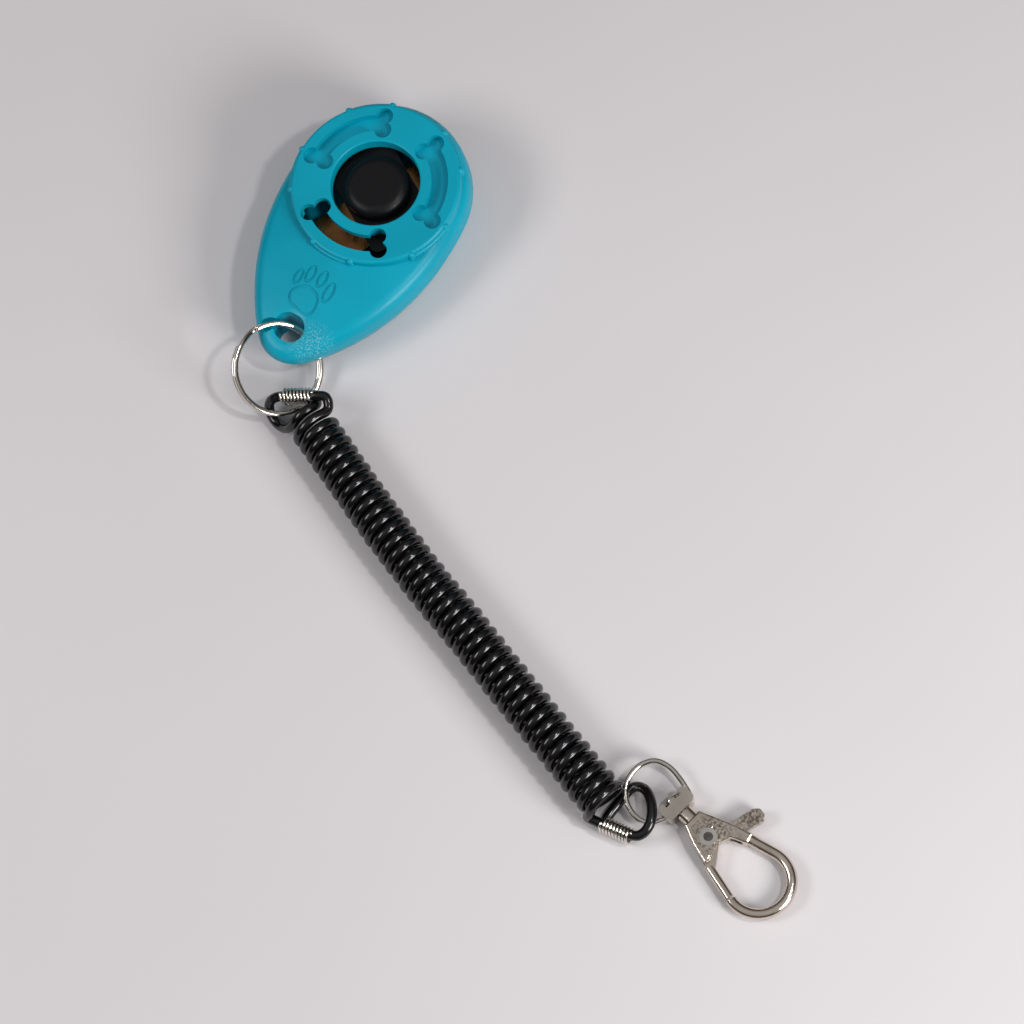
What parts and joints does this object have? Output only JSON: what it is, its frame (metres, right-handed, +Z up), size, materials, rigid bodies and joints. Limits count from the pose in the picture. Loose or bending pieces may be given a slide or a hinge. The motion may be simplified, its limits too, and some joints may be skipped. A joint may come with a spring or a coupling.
{
  "type": "clicker trainer",
  "caption": "Egg-shaped pet-training clicker with a push button, on a split ring with a coiled wrist cord and a swivel snap hook.",
  "frame": {"origin": "centre of the flat underside, on the surface the clicker lies on, under the button's axis", "axes": "+X from the egg's narrow tail to its round head, +Z up along the button's axis, out of the bezel"},
  "size_m": [0.1177, 0.178, 0.0171],
  "materials": {
    "case_plastic": "satin moulded teal",
    "button_plastic": "satin black",
    "reed_steel": "blued bronze-brown spring steel",
    "ring_wire": "bright nickel",
    "cord": "glossy black",
    "wrap_wire": "bright nickel wire",
    "clasp_nickel": "warm nickel plate on a casting",
    "spring_steel": "bright spring steel"
  },
  "bodies": {
    "case": {"top_case": "case_plastic", "bottom_case": "case_plastic", "click_reed": "reed_steel"},
    "button": {"button": "button_plastic"},
    "ring": {"split_ring": "ring_wire"},
    "cord": {"cord_coil": "cord", "cord_ring_loop": "cord", "ring_end_wire_wrap": "wrap_wire"},
    "cord_end": {"cord_clasp_loop": "cord", "clasp_end_wire_wrap": "wrap_wire"},
    "swivel": {"swivel_eye": "clasp_nickel", "swivel_block": "clasp_nickel"},
    "hook": {"hook_body": "clasp_nickel", "swivel_rivet": "clasp_nickel", "gate_rivet": "clasp_nickel", "gate_spring": "spring_steel"},
    "gate": {"gate_lever": "clasp_nickel"}
  },
  "joints": [
    {"name": "button_press", "type": "slide", "parent": "case", "child": "button", "axis": [0, 0, -1], "range_m": [0, 0.0012], "stiffness_N_per_m": 1200, "deforming": ["click_reed"]},
    {"name": "ring_turn", "type": "hinge", "parent": "case", "child": "ring", "pos_m": [-0.0448, -0.0015, 0.008], "axis": [0.015, -0.5707, 0.821], "range_deg": [-60, 30]},
    {"name": "cord_swing", "type": "hinge", "parent": "ring", "child": "cord", "pos_m": [-0.051, -0.0076, 0.004], "axis": [0.7897, -0.5001, -0.3554], "range_deg": [-20, 20]},
    {"name": "coil_stretch", "type": "slide", "parent": "cord", "child": "cord_end", "axis": [-0.3443, -0.9389, 0], "range_m": [0, 0.15], "stiffness_N_per_m": 12, "deforming": ["cord_coil"]},
    {"name": "loop_swing", "type": "hinge", "parent": "cord_end", "child": "swivel", "pos_m": [-0.08843, -0.11988, 0.00286], "axis": [-0.4385, -0.8897, -0.1267], "range_deg": [-10, 10]},
    {"name": "swivel_spin", "type": "hinge", "parent": "swivel", "child": "hook", "pos_m": [-0.0843, -0.13, 0.00215], "axis": [-0.23, -0.9732, 0], "continuous": true},
    {"name": "gate_open", "type": "hinge", "parent": "hook", "child": "gate", "pos_m": [-0.08621, -0.13592, 0.00215], "axis": [0, 0, 1], "range_deg": [0, 32], "stiffness_Nm_per_rad": 0.02, "springref_deg": -6.88, "deforming": ["gate_spring"]}
  ]
}
